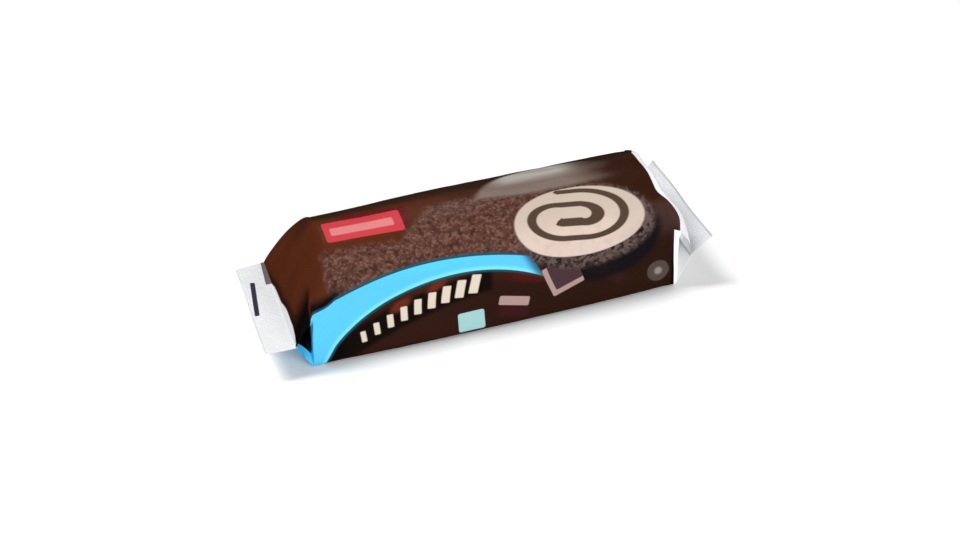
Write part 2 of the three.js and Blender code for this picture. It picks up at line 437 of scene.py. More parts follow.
def flap_creases(away, across, rng):
    """Fine creases that start at a fin and fan out over the flap. away is the distance from
    the seal along the film, across the place along the seal, both in millimetres."""
    height = np.zeros_like(away)
    for _ in range(FLAP_CREASES):
        start = rng.uniform(*FLAP_CREASE_STARTS)
        drift = rng.normal(0, FLAP_CREASE_DRIFT) - start * FLAP_CREASE_FAN
        length = rng.uniform(*FLAP_CREASE_LENGTHS)
        size = rng.uniform(*FLAP_CREASE_HEIGHTS) * rng.choice([-1, 1, 1])
        width = rng.uniform(*FLAP_CREASE_WIDTHS) + FLAP_CREASE_WIDENING * away
        line = across - start - drift * away
        profile = np.exp(-np.abs(line / width) ** CREASE_SHARPNESS)
        fade = np.clip(1 - away / length, 0, 1) ** CREASE_FADE
        fade = fade * (1 - np.exp(-away / CREASE_RISE))
        height += size * profile * fade
    return height


def side_creases(s, t, side, rng):
    """Shallow tension lines that run from an end fold into the long sides."""
    height = np.zeros_like(s)
    fold = BASE_HALF - 2
    for _ in range(SIDE_CREASES):
        t_start = rng.uniform(*SIDE_CREASE_STARTS)
        length = rng.uniform(*SIDE_CREASE_LENGTHS)
        slant = rng.uniform(*SIDE_CREASE_SLANTS)
        size = rng.uniform(*SIDE_CREASE_HEIGHTS) * rng.choice([-1, 1])
        away = fold - side * s
        width = SIDE_CREASE_WIDTH + SIDE_CREASE_WIDENING * np.maximum(away, 0)
        line = (t - t_start - slant * away) / width
        fade = np.clip(1 - away / length, 0, 1) * smoothstep(away, *SIDE_CREASE_FADE_IN)
        height += size * np.exp(-(line**2)) * fade
    return height


def filled_form(grid):
    """The film's grid as the roll fills it out: the long sides belly out at their foot, and
    the top sags a little towards the left end. With it comes how far the film slides round
    over the roll, which keeps the print level."""
    x, y, z = grid[:, :, 0], grid[:, :, 1], grid[:, :, 2]
    belly = FOOT_BELLY * np.maximum(0, 1 - (np.abs(x) / BASE_HALF) ** 3)
    belly = belly * smoothstep(z, *BELLY_HEIGHTS)
    lift = lerp(TOP_SAG, TOP_LIFT, smoothstep(x, *SAG_TO_LIFT))
    lift = lift * smoothstep(z, *LIFT_HEIGHTS) * smoothstep(np.abs(x), *LIFT_ENDS)
    filled = grid.copy()
    filled[:, :, 1] *= 1 + belly / (BODY_WIDTH / 2)
    filled[:, :, 2] += lift
    slide = (lift * LIFT_SLIDE - belly * BELLY_SLIDE) * smoothstep(y, *SLIDE_BACK)
    return filled, slide


def film_relief(grid, s, t, girth):
    """How far the film stands out from its plain form, in millimetres."""
    rng = np.random.default_rng(RANDOM_SEED)
    round_steps = NOISE_CELLS / girth
    soft = np.zeros_like(s)
    for size, length, density, start, seed in SOFT_WAVES:
        soft += size * value_noise(s / length + start[0], t * round_steps * density + start[1], seed)
    creases = np.zeros_like(s)
    y = grid[:, :, 1]
    z = grid[:, :, 2]
    for end in (LEFT_END, RIGHT_END):
        seal = s[0] if end is LEFT_END else s[-1]
        away = end["side"] * (seal[None, :] - s)
        on_flap = smoothstep(z, *FLAP_HEIGHTS)
        creases += flap_creases(away, y, rng) * on_flap * CREASE_STRENGTH[end["side"]]
        under = flap_creases(away, y, rng) * (1 - on_flap)
        creases += under * smoothstep(away, 0, 3) * smoothstep(UNDER_REACH - away, 0, 6)
        front = np.where(y < 0, t, girth - BODY_WIDTH - t)
        on_side = smoothstep(np.abs(y), *SIDE_FROM) * smoothstep(z, *SIDE_HEIGHTS)
        creases += side_creases(s, front, end["side"], rng) * on_side
    off_base = smoothstep(z, *BASE_HEIGHTS)
    off_seal = smoothstep(np.minimum(s - s[0], s[-1] - s), 0, SEAL_HOLD)
    return (soft * SOFT_STRENGTH * off_base + creases * off_base) * off_seal


# ---------------------------------------------------------------- meshes


def sheet_object(name, points, film_map, bake_map, material):
    """A smooth sheet through a grid of points (rows, columns, xyz) in millimetres. Its maps
    give each point's film coordinates and its place in the picture that it is baked to."""
    rows, columns = points.shape[:2]
    corner = np.arange(rows * columns).reshape(rows, columns)
    faces = np.stack([corner[:-1, :-1], corner[1:, :-1], corner[1:, 1:], corner[:-1, 1:]], 2)
    mesh = bpy.data.meshes.new(name)
    mesh.from_pydata((points.reshape(-1, 3) * MM).tolist(), [], faces.reshape(-1, 4).tolist())
    for title, values in (("film", film_map), ("OFBake", bake_map)):
        layer = mesh.uv_layers.new(name=title)
        flat = np.asarray(values, dtype=np.float32).reshape(-1, 2)
        layer.data.foreach_set("uv", flat[faces.reshape(-1)].ravel())
    mesh.polygons.foreach_set("use_smooth", np.ones(len(mesh.polygons), dtype=bool))
    mesh.materials.append(material)
    mesh.update()
    made = bpy.data.objects.new(name, mesh)
    bpy.context.scene.collection.objects.link(made)
    return made


def unit_map(rows, columns):
    """Places in the unit square for a grid whose rows and columns lie at the given values."""
    u = lerp(BAKE_MARGIN, 1 - BAKE_MARGIN, share(rows, rows.min(), rows.max()))
    v = lerp(BAKE_MARGIN, 1 - BAKE_MARGIN, share(columns, columns.min(), columns.max()))
    return np.stack(np.meshgrid(u, v, indexing="ij"), 2)


def film_object(shift, material):
    """The wrap itself: a tube whose two mouths close on the fins. It is cut along the middle
    of its base, under the seam, so its maps have two edges there."""
    grid = film_grid()
    s, t, girth = film_places(grid)
    relief = film_relief(grid, s, t, girth)
    grid, slide = filled_form(grid)
    t = t + slide
    grid = grid + grid_normals(grid) * relief[:, :, None]
    grid[:, :, 2] = np.maximum(grid[:, :, 2], 0)
    points = np.concatenate([grid, grid[:, :1]], axis=1) + [shift, 0, 0]
    s = np.concatenate([s, s[:, :1]], axis=1)
    t = np.concatenate([t, t[:, :1] - girth], axis=1)
    bake_map = unit_map(s.mean(axis=1), t[len(t) // 2])
    return sheet_object("film_wrap", points, np.stack([s, t], 2), bake_map, material)


def fin_object(name, end, shift, material):
    """A crimped fin with a zigzag edge: one sheet from its root out over the upper face and
    back under the lower. Its film coordinates are the way along that sheet, and y."""
    out = np.concatenate([[-FIN_ROOT], np.linspace(0, FIN_DEPTH, FIN_STEPS + 1)])
    along = np.concatenate([out, 2 * FIN_DEPTH + FIN_THICKNESS - out[::-1]])
    depth = np.concatenate([out, out[::-1]])[:, None]
    face = np.repeat([1, -1], len(out))[:, None]
    place = np.linspace(-1, 1, RIBS * RIB_STEPS + 1)[None, :]
    y = place * SEAL_WIDTH / 2
    pressed = smoothstep(depth, 0.3, 1.2)
    rib = RIB_HEIGHT / 2 * np.cos(place * RIBS * math.pi) * pressed
    tooth = np.abs(((place * RIBS / 2) % 1) * 2 - 1)
    reach = depth - ZIGZAG * tooth * smoothstep(depth, FIN_DEPTH - 2, FIN_DEPTH)
    wave = end["fin_wave"] * np.sin(y / SEAL_WIDTH * FIN_WAVES * 2 * math.pi)
    pinched = smoothstep(1 - np.abs(place), 0, FIN_CORNER)
    lift = rib + wave * np.maximum(0, reach / FIN_DEPTH) ** 2
    cos, sin = math.cos(end["fin_tilt"]), math.sin(end["fin_tilt"])
    x = end["side"] * (end["seal_at"] + reach * cos - lift * sin) + shift
    z = end["seal_height"] + reach * sin + lift * cos + face * pinched * FIN_THICKNESS / 2
    points = np.stack(np.broadcast_arrays(x, y, z), 2)
    film_map = np.stack(np.broadcast_arrays(along[:, None], y), 2)
    bake_map = unit_map(along, y[0])
    if end["side"] < 0:
        points, film_map, bake_map = points[:, ::-1], film_map[:, ::-1], bake_map[:, ::-1]
    return sheet_object(name, points, film_map, bake_map, material)


def seam_object(shift, material):
    """The long seam under the base: the film's two edges crimped together and laid flat."""
    half_length = BASE_HALF - SEAM_MARGIN
    x = np.linspace(-half_length, half_length, SEAM_STEPS + 1)[:, None]
    across = np.linspace(-SEAM_WIDTH / 2, SEAM_WIDTH / 2, SEAM_ACROSS_STEPS + 1)
    y = np.concatenate([across[:1], across, across[-1:]])[None, :]
    hidden_edge = np.zeros(y.shape[1], dtype=bool)
    hidden_edge[[0, -1]] = True
    crimped = smoothstep(y, -SEAM_WIDTH / 2 + 1, -SEAM_WIDTH / 2 + 3)
    crimp = SEAM_CRIMP * np.cos(x * 2 * math.pi / SEAM_CRIMP_PITCH) * crimped
    slack = SEAM_SLACK * value_noise(x / 12 + 9, y / 8 + 4, 5)
    z = np.where(hidden_edge, CHANNEL_DEPTH + 0.1, CHANNEL_DEPTH - SEAM_THICKNESS + crimp + slack)
    points = np.stack(np.broadcast_arrays(x + shift, y, z), 2)
    along = arc_lengths(np.stack([y[0], z[0]], 1))
    film_map = np.stack(np.broadcast_arrays(x, along[None, :] - SEAM_WIDTH), 2)
    bake_map = unit_map(x[:, 0], along)
    return sheet_object("long_seam", points[::-1], film_map[::-1], bake_map[::-1], material)


# ---------------------------------------------------------------- shader arithmetic


class Field:
    """A number that shader nodes work out. Arithmetic on it adds more nodes."""

    def __init__(self, tree, socket):
        self.tree = tree
        self.socket = socket

    def apply(self, operation, *others):
        """What a Math node makes of this number and the others."""
        node = self.tree.nodes.new("ShaderNodeMath")
        node.operation = operation
        for slot, value in zip(node.inputs, (self, *others), strict=False):
            plug(self.tree, slot, value)
        return Field(self.tree, node.outputs[0])

    def __add__(self, other):
        return self.apply("ADD", other)

    def __sub__(self, other):
        return self.apply("SUBTRACT", other)

    def __mul__(self, other):
        return self.apply("MULTIPLY", other)

    def __truediv__(self, other):
        return self.apply("DIVIDE", other)

    def __neg__(self):
        return self * -1

    def lesser(self, other):
        return self.apply("MINIMUM", other)

    def greater(self, other):
        return self.apply("MAXIMUM", other)

    def size(self):
        return self.apply("ABSOLUTE")

    def between(self, low, high):
        return self.greater(low).lesser(high)


def plug(tree, slot, value):
    """Feeds a node's input from a Field, or sets it to a plain value."""
    if isinstance(value, Field):
        tree.links.new(value.socket, slot)
    else:
        slot.default_value = value


def ramp(value, start, end):
    """0 at start and 1 at end, with a smooth rise between them."""
    node = value.tree.nodes.new("ShaderNodeMapRange")
    node.interpolation_type = "SMOOTHSTEP"
    plug(value.tree, node.inputs["Value"], value)
    node.inputs["From Min"].default_value = start
    node.inputs["From Max"].default_value = end
    return Field(value.tree, node.outputs["Result"])


def inside(distance, soft=0.5):
    """The cover of a shape, from the signed distance to its outline: 1 inside, 0 outside."""
    return ramp(distance, soft / 2, -soft / 2)


def colour(red, green, blue):
    """An 8-bit sRGB colour as the linear colour that shaders take."""
    levels = (channel / 255 for channel in (red, green, blue))
    linear = [v / 12.92 if v <= 0.04045 else ((v + 0.055) / 1.055) ** 2.4 for v in levels]
    return (*linear, 1.0)


def blend(under, over, cover):
    """Colour over laid on colour under where cover is 1. Colours are tuples or Fields."""
    node = cover.tree.nodes.new("ShaderNodeMix")
    node.data_type = "RGBA"
    plug(cover.tree, node.inputs[0], cover)
    plug(cover.tree, node.inputs[6], under)
    plug(cover.tree, node.inputs[7], over)
    return Field(cover.tree, node.outputs[2])


class Place:
    """The film's coordinates s and t, in millimetres, with shapes measured on them."""

    def __init__(self, tree):
        node = tree.nodes.new("ShaderNodeUVMap")
        node.uv_map = "film"
        split = tree.nodes.new("ShaderNodeSeparateXYZ")
        tree.links.new(node.outputs[0], split.inputs[0])
        self.tree = tree
        self.socket = node.outputs[0]
        self.s = Field(tree, split.outputs[0])
        self.t = Field(tree, split.outputs[1])

    def level(self):
        """How far up its own side a place lies, the same on the front and the back."""
        return self.t.lesser(self.t * -1 + 2 * TOP_LINE)

    def vector(self, operation, offset):
        """A Vector Math node between the coordinates and a constant (s, t)."""
        node = self.tree.nodes.new("ShaderNodeVectorMath")
        node.operation = operation
        self.tree.links.new(self.socket, node.inputs[0])
        node.inputs[1].default_value = (*offset, 0)
        return node

    def away_from(self, middle):
        """The distance to a point."""
        return Field(self.tree, self.vector("DISTANCE", middle).outputs["Value"])

    def turned(self, middle, degrees):
        """Coordinates along and across an axis that is turned about a point."""
        cos, sin = math.cos(math.radians(degrees)), math.sin(math.radians(degrees))
        s, t = self.s - middle[0], self.t - middle[1]
        return s * cos + t * sin, t * cos - s * sin

    def ellipse(self, middle, axes, degrees=0):
        """The signed distance to an ellipse, exact on its outline."""
        along, across = self.turned(middle, degrees)
        return (length_of(along / axes[0], across / axes[1]) - 1) * min(axes)

    def plate(self, middle, half, corner, degrees=0):
        """The signed distance to a rectangle with round corners."""
        along, across = self.turned(middle, degrees)
        over_s = along.size() - (half[0] - corner)
        over_t = across.size() - (half[1] - corner)
        outer = length_of(over_s.greater(0), over_t.greater(0))
        return outer + over_s.greater(over_t).lesser(0) - corner

    def noise(self, scale, detail=2.0, stretch=(1, 1)):
        """Cloudy noise from 0 to 1 with patches of about scale millimetres."""
        node = self.tree.nodes.new("ShaderNodeTexNoise")
        node.noise_dimensions = "2D"
        node.inputs["Scale"].default_value = 1 / scale
        node.inputs["Detail"].default_value = detail
        scaled = self.vector("MULTIPLY", stretch)
        self.tree.links.new(scaled.outputs[0], node.inputs["Vector"])
        return Field(self.tree, node.outputs["Fac"])

    def grains(self, scale):
        """Random grey levels in small cells about scale millimetres wide, and each cell's
        distance from its middle."""
        node = self.tree.nodes.new("ShaderNodeTexVoronoi")
        node.voronoi_dimensions = "2D"
        node.inputs["Scale"].default_value = 1 / scale
        self.tree.links.new(self.socket, node.inputs["Vector"])
        level = self.tree.nodes.new("ShaderNodeSeparateColor")
        self.tree.links.new(node.outputs["Color"], level.inputs[0])
        return Field(self.tree, level.outputs[0]), Field(self.tree, node.outputs["Distance"])


def length_of(a, b):
    """The length of the vector (a, b)."""
    return (a * a + b * b).apply("SQRT")


# ---------------------------------------------------------------- the print

GROUND = colour(81, 35, 13)
GROUND_DARK = colour(50, 23, 10)
GROUND_LOW = colour(44, 20, 10)
GROUND_BACK_PAINTED_SHADE = colour(48, 31, 19)
GROUND_END = colour(67, 43, 37)
NEAR_BLACK = colour(14, 8, 9)
CRUMB = colour(82, 51, 42)
CRUMB_LIGHT = colour(112, 78, 67)
CRUMB_DARK = colour(58, 33, 26)
BLUE = colour(80, 193, 244)
BLUE_LIGHT = colour(116, 218, 240)
BLUE_EDGE = colour(20, 78, 92)
CAKE_CREAM = colour(210, 189, 177)
CAKE_CREAM_SHADE = colour(184, 168, 154)
CAKE_BROWN = colour(77, 59, 48)
RIM_BROWN = colour(100, 80, 74)
SHADOW = colour(20, 16, 22)
SHEEN = colour(118, 104, 95)
SHEEN_LIGHT = colour(176, 170, 163)
RED = colour(188, 50, 58)
RED_DARK = colour(88, 14, 18)
RED_PALE = colour(206, 128, 128)
ORNAMENT = colour(214, 200, 182)
WARM_PATCH = colour(112, 36, 10)
MAROON_PATCH = colour(78, 12, 8)
CHOCOLATE = colour(72, 48, 54)
CHOCOLATE_RED = colour(60, 18, 20)
CHOCOLATE_EDGE = colour(168, 138, 132)
BADGE = colour(154, 198, 198)
DISC = colour(80, 66, 62)
DISC_SPOT = colour(136, 126, 122)
WHITE_FILM = colour(216, 217, 219)
WHITE_GUSSET_PAINTED_LIGHT = colour(250, 251, 252)
# The right fin's white: a touch darker than the film's, painted shade since the raised fin faces the
# lights.
WHITE_FIN_PAINTED_SHADE = colour(212, 213, 215)
FIN_EDGE_PAINTED_SHADE = colour(176, 178, 184)
EYE_MARK = colour(52, 46, 66)
FIN_BROWN_AND_SHADE = colour(76, 66, 62)

# The slack film's dents: how wide and how deep they are, in millimetres, and how far they
# vary the roughness.
DENT_SIZE = 7.0
DENT_DEPTH = 0.3
GLOSS_SPREAD = 0.2

# The film's middle line on top of the pack.
TOP_LINE = 82.0

# In what follows, a pair of places along (S) or round the film (T, or LEVEL up either side)
# says where a change of colour starts and where it is complete.

# The ground: darker to the right and low down, with painted shade over the back, paler at
# the right end, and painted near-black shade round the gussets. Clouds of a size shift its
# first change along the pack.
DARKER_S = (-70, 50)
CLOUD_SIZE = 40.0
CLOUD_SHIFT = 50.0
LOW_LEVEL = (46, 26)
BACK_T = (92, 98)
BACK_S = (-116, -80)
END_S = (86, 92)
END_FOOT_T = (34, 46)
END_HEAD_T = (62, 55)
LEFT_GUSSET_S = (-106.5, -110)
LEFT_GUSSET_T = (70, 52)
RIGHT_GUSSET_S = (100.5, 102.5)
RIGHT_GUSSET_LEVEL = (44, 41)
GUSSET_FOOT_LEVEL = (-6, 6)

# The pictured roll's crumb: its plate (middle, half size and corner radius), its upper edge
# with the step in it, its right end, its ragged edge, and the crumbs' and their clumps' size.
CRUMB_PLATE = ((0.0, 44.0), (93.0, 60.0), 24.0)
CRUMB_TOP = 67.0
CRUMB_STEP = 20.0
CRUMB_STEP_S = (-52, -24)
CRUMB_RIGHT = 80.0
CRUMB_RAGGED = 6.0
CRUMB_SIZE = 1.25
CLUMP_SIZE = 4.0
CRUMB_ABOVE_SWEEP = 2.0
CRUMB_FADE_S = (78, 40)

# The sheen on the roll, partly print and partly a painted highlight: the step in its lower
# edge, where it is lightest, and its streaks' size, detail and stretch.
SHEEN_FOOT = 84.0
SHEEN_STEP = 4.0
SHEEN_STEP_S = (-6, 30)
SHEEN_LIGHT_T = (88, 98)
SHEEN_LIGHT_S = (4, 22)
SHEEN_LIGHT_END_S = (66, 46)
SHEEN_FADE_S = (80, 48)
SHEEN_STREAKS = (7, 3, (0.3, 1.0))
SHEEN_FRAY = 14.0

# The blue sweep lies between two circles: each has a middle and a radius. Its left end turns
# up and is cut off below, and its right end is a slanted line. UP and IN are distances out
# from the sweep's upper edge, and in from its lower edge or its right end.
SWEEP_UPPER = ((-33.0, -117.7), 168.6)
SWEEP_LOWER = ((-23.9, -49.1), 91.0)
SWEEP_RISE = 10.2
SWEEP_RISE_S = (-91, -110)
SWEEP_LEFT = -107.5
SWEEP_CUT = 18.0
SWEEP_CUT_T = (12.6, 11.8)
SWEEP_RIGHT = (21.5, 36.0)
SWEEP_RIGHT_SLANT = 0.5
SWEEP_LINE = 1.4
SWEEP_LINE_S = (30, 0)
SWEEP_LINE_END_S = (-108, -104)
# The painted shade above the left end: how far up it reaches and where along the pack.
SWEEP_SHADE_UP = (8, 3)
SWEEP_SHADE_S = (-82, -92)
SWEEP_SHADE_END_S = (-108, -106)
SWEEP_LIGHT_IN = (-3.5, -0.5)
SWEEP_DARK_IN = (-7, 0)

# Ellipses of the picture of the cut roll: middle, half sizes and turn in degrees.
SLICE = ((48.2, 57.1), (36.8, 20.8), -3.5)
SLICE_RIM = ((51.5, 53.0), (38.6, 25.5), -4)
SLICE_SHADOW = ((60.0, 43.5), (34.0, 26.5), 0)
SHEEN_OUTLINE = ((44.0, 66.0), (52.0, 42.0), 0)

# The grains of the slice's rim, and where its cream is shaded.
RIM_GRAIN = 1.7
CREAM_SHADE_T = (44, 66)
CREAM_SHADE_S = (58, 80)

# The spiral's middle, units and turn, then its form in those units.
SPIRAL_MIDDLE = (44.0, 59.8)
SPIRAL_AXES = (38.3, 21.8)
SPIRAL_TURN = -7.6
SPIRAL_CORE = 0.146
SPIRAL_START = 0.631
SPIRAL_PITCH = 0.397
SPIRAL_ENDS = (-0.25, 1.33)
SPIRAL_HALF_WIDTH = 0.068
SPIRAL_THICK_FROM = 0.7
SPIRAL_THICK_AT = 1.0
SPIRAL_THICKER = 0.034
SPIRAL_END_SHARPNESS = 6.0

# Plates of the small prints: middle, half size, corner radius and turn in degrees. The fin's
# marks lie in the fin's own coordinates.
RED_PLATE = ((-65.3, 81.2), (20.8, 8.4), 1.5, -1.5)
RED_BACKING = ((-58.0, 86.0), (17.5, 8.0), 2.0, -8)
RED_BAR = ((-66.0, 80.8), (16.8, 3.2), 1.0, -1.5)
BLOCK = ((36.7, 25.2), (9.7, 10.2), 1.0, 20)
BLOCK_FACE = ((37.6, 27.2), (8.3, 8.7), 0.8, 20)
BAR_FRONT = ((7.6, 10.0), (8.6, 4.6), 1.2, -12)
BAR_TOP = ((8.2, 15.4), (8.8, 2.9), 1.0, -15)
BADGE_PLATE = ((-16.7, 8.7), (7.5, 6.0), 1.4, 0)
FIN_MARK = ((11.6, 8.3), (1.3, 13.6), 0.4, 7)
# The spot at the fin's root: partly brown film, partly painted shade in the gap under the flap.
FIN_SPOT = ((0.6, 28.0), (2.0, 10.0), 0.5, 4)
DISC_MIDDLE = (93.2, 14.4)
DISC_RADIUS = 6.6
DISC_SPOT_RADIUS = 2.2

# Soft patches below the sweep: ellipses again.
WARM_OUTLINES = (((-55.0, 28.6), (6.0, 3.0), 30), ((-35.0, 36.5), (5.5, 2.6), 30))
MAROON_OUTLINE = ((22.0, 29.0), (17.0, 4.5), -12)

# The string of lozenges follows an arc: its middle, radius and first and last angle.
STRING_MIDDLE = (23.6, -206.0)
STRING_RADIUS = 241.4
STRING_ANGLES = (114.4, 98.9)
STRING_COUNT = 9
LOZENGE_HEIGHTS = (3.4, 6.2)
LOZENGE_WIDTH = 0.42
LOZENGE_CORNER = 0.6
LOZENGE_UPRIGHT = 110

# The dark band that the string lies on: half its width, and its middle and half length in s.
BAND_HALF_WIDTH = 7.5
BAND_MIDDLE = -48.0
BAND_HALF_LENGTH = 44.0

# The white of the right end starts at an ear-shaped edge and, below the ear, at a slanted
# one; below the ear its white is brighter, painted light in the gusset. The left end's strip
# starts at a slanted edge, stays off the side, and has painted shade along its edge.
EAR_START = 95.2
EAR_REACH = 10.0
EAR_LEVEL = (66, 48)
EAR_FOOT_LEVEL = (42.5, 41.5)
SIDE_START = 104.0
SIDE_SLANT = -0.06
STRIP_START = -136.2
STRIP_SLANT = 0.26
STRIP_TOP = 83.0
STRIP_FOOT_T = (43.5, 41)
STRIP_OFF_SIDE = 20.0
STRIP_SHADE = (7, 0.5)

# How far from the right fin's cut edge the film turns grey with painted shade.
FIN_EDGE_SHADE_FADE = (2.2, 0.8)


def ground_print(place):
    """The brown ground: redder towards the left, darker low on the sides, with painted shade over
    the top and the back, paler at the right end and painted near-black shade round the gussets."""
    shade = ramp(place.s + (place.noise(CLOUD_SIZE) - 0.5) * CLOUD_SHIFT, *DARKER_S)
    ground = blend(GROUND, GROUND_DARK, shade)
    level = place.level()
    ground = blend(ground, GROUND_LOW, ramp(level, *LOW_LEVEL) * 0.85)
    # Painted shade: the film darkens where it turns away over the top to the back.
    back = ramp(place.t, *BACK_T) * ramp(place.s, *BACK_S)
    ground = blend(ground, GROUND_BACK_PAINTED_SHADE, back * 0.9)
    right_end = ramp(place.s, *END_S) * ramp(place.t, *END_FOOT_T) * ramp(place.t, *END_HEAD_T)
    ground = blend(ground, GROUND_END, right_end * 0.9)
    # Painted shade: near-black in the gussets' recesses.
    left = ramp(place.s, *LEFT_GUSSET_S) * ramp(place.t, *LEFT_GUSSET_T)
    right = ramp(place.s, *RIGHT_GUSSET_S) * ramp(level, *RIGHT_GUSSET_LEVEL)
    gusset_painted_shade = left.greater(right) * ramp(level, *GUSSET_FOOT_LEVEL)
    return blend(ground, NEAR_BLACK, gusset_painted_shade)


def crumb_print(place, under):
    """The roll's crumbly side, above the sweep and left of the slice."""
    wobble = (place.noise(CRUMB_RAGGED) - 0.5) * CRUMB_RAGGED
    top = place.t - ramp(place.s, *CRUMB_STEP_S) * CRUMB_STEP - CRUMB_TOP
    body = place.plate(*CRUMB_PLATE)
    below = place.away_from(SWEEP_UPPER[0]) * -1 + SWEEP_UPPER[1] - CRUMB_ABOVE_SWEEP
    right = place.s - CRUMB_RIGHT
    edge = top.greater(body).greater(below).greater(right) + wobble
    level, spread = place.grains(CRUMB_SIZE)
    coarse = place.noise(CLUMP_SIZE, 4)
    shade = (level * 0.55 + coarse * 0.8 - spread * 0.2).between(0, 1)
    low = blend(CRUMB_DARK, CRUMB, ramp(shade, 0.15, 0.55))
    crumbs = blend(low, CRUMB_LIGHT, ramp(shade, 0.5, 1.0))
    fade = ramp(place.s, *CRUMB_FADE_S)
    return blend(under, crumbs, inside(edge, CRUMB_RAGGED) * fade)


def sheen_print(place, under):
    """The pale sheen on the roll's upper edge, partly the pictured roll's own sheen and partly a
    painted highlight of the film's gloss, lightest at the top, fading right.
    """
    outline = place.ellipse(*SHEEN_OUTLINE)
    foot = -(place.t - SHEEN_FOOT + ramp(place.s, *SHEEN_STEP_S) * SHEEN_STEP)
    soft = place.noise(*SHEEN_STREAKS)
    light = ramp(place.t, *SHEEN_LIGHT_T) * ramp(place.s, *SHEEN_LIGHT_S)
    light = light * ramp(place.s, *SHEEN_LIGHT_END_S)
    tone = blend(SHEEN, SHEEN_LIGHT, light * (soft * 0.6 + 0.7))
    fade = ramp(place.s + (soft - 0.5) * SHEEN_FRAY, *SHEEN_FADE_S) * 0.95
    cover = inside(outline.greater(foot), 4.0) * fade
    return blend(under, tone, cover * (soft * 0.4 + 0.75).between(0, 1))


def blue_print(place, under):
    """The blue sweep between two arcs, with a lighter lower edge, a dark line round it and
    painted shade above its left end.
    """
    rise = ramp(place.s, *SWEEP_RISE_S) * SWEEP_RISE
    upper = place.away_from(SWEEP_UPPER[0]) - rise - SWEEP_UPPER[1]
    lower = -(place.away_from(SWEEP_LOWER[0]) - SWEEP_LOWER[1])
    right_end = (place.s - SWEEP_RIGHT[0]) + (place.t - SWEEP_RIGHT[1]) * SWEEP_RIGHT_SLANT
    left_end = -(place.s - SWEEP_LEFT + ramp(place.t, *SWEEP_CUT_T) * SWEEP_CUT)
    around = upper.greater(lower).greater(right_end)
    distance = around.greater(left_end)
    line = inside(around - SWEEP_LINE, SWEEP_LINE) * ramp(place.s, *SWEEP_LINE_S)
    # Painted shade: near-black above the sweep where it turns up over the left end.
    shade = ramp(upper, *SWEEP_SHADE_UP) * ramp(place.s, *SWEEP_SHADE_S)
    shade = shade * ramp(place.s, *SWEEP_SHADE_END_S)
    edged = blend(under, NEAR_BLACK, shade * 0.95)
    edged = blend(edged, BLUE_EDGE, line * ramp(place.s, *SWEEP_LINE_END_S))
    light = blend(BLUE, BLUE_LIGHT, ramp(lower, *SWEEP_LIGHT_IN))
    faded = blend(light, BLUE_EDGE, ramp(right_end, *SWEEP_DARK_IN) * 0.9)
    return blend(edged, faded, inside(distance))


def slice_print(place, under):
    """The cut roll: a granulated rim, cream, and the brown line of the cake in a spiral."""
    level, spread = place.grains(RIM_GRAIN)
    grain = (level * 1.1 + 0.25 - spread * 0.4).between(0, 1)
    rim_colour = blend(SHADOW, RIM_BROWN, grain)
    made = blend(under, rim_colour, inside(place.ellipse(*SLICE_RIM), 4.0))
    disc = place.ellipse(*SLICE)
    cream = blend(CAKE_CREAM, CAKE_CREAM_SHADE, ramp(place.t, *CREAM_SHADE_T))
    cream = blend(cream, CAKE_CREAM_SHADE, ramp(place.s, *CREAM_SHADE_S) * 0.5)
    cream = blend(cream, CAKE_CREAM_SHADE, ramp(place.noise(5, 2), 0.4, 0.8) * 0.35)
    cake = blend(cream, CAKE_BROWN, spiral_cover(place))
    return blend(made, cake, inside(disc, 0.9))


def spiral_cover(place):
    """The cover of the brown spiral, drawn in the slice's own units: 1 is its half size."""
    across, up = place.turned(SPIRAL_MIDDLE, SPIRAL_TURN)
    across, up = across / SPIRAL_AXES[0], up / SPIRAL_AXES[1]
    out = across - across.between(-SPIRAL_CORE, SPIRAL_CORE)
    radius = length_of(out, up)
    turn = (up.apply("ARCTAN2", out) / (-2 * math.pi) + 1).apply("FRACT")
    wound = (radius * -1 + SPIRAL_START) / SPIRAL_PITCH
    whole = (wound - turn).apply("ROUND")
    along = (whole + turn).between(*SPIRAL_ENDS)
    # Past either end the nearest line is the end itself.
    gap = (wound - along).size() * SPIRAL_PITCH
    past = (whole + turn - along).size() * SPIRAL_END_SHARPNESS
    thicker = ramp(along, SPIRAL_THICK_FROM, SPIRAL_THICK_AT) * SPIRAL_THICKER
    return inside(gap + past - thicker - SPIRAL_HALF_WIDTH, 0.03)


def small_prints(place, under):
    """The red plate, the chocolate pieces, the badge and the disc."""
    made = blend(under, RED_DARK, inside(place.plate(*RED_BACKING), 2.0) * 0.85)
    made = blend(made, RED, inside(place.plate(*RED_PLATE)))
    made = blend(made, RED_PALE, inside(place.plate(*RED_BAR), 1.0) * 0.8)
    made = blend(made, CHOCOLATE_RED, inside(place.plate(*BAR_FRONT)))
    made = blend(made, CHOCOLATE_EDGE, inside(place.plate(*BAR_TOP)))
    made = blend(made, BADGE, inside(place.plate(*BADGE_PLATE)))
    disc = place.away_from(DISC_MIDDLE)
    made = blend(made, DISC, inside(disc - DISC_RADIUS, 1.0))
    return blend(made, DISC_SPOT, inside(disc - DISC_SPOT_RADIUS, 2.0))


def block_print(place, under):
    """The slice's shadow, and the block of chocolate that lies half under the slice."""
    made = blend(under, SHADOW, inside(place.ellipse(*SLICE_SHADOW), 5.0) * 0.9)
    made = blend(made, CHOCOLATE_EDGE, inside(place.plate(*BLOCK)))
    return blend(made, CHOCOLATE, inside(place.plate(*BLOCK_FACE)))


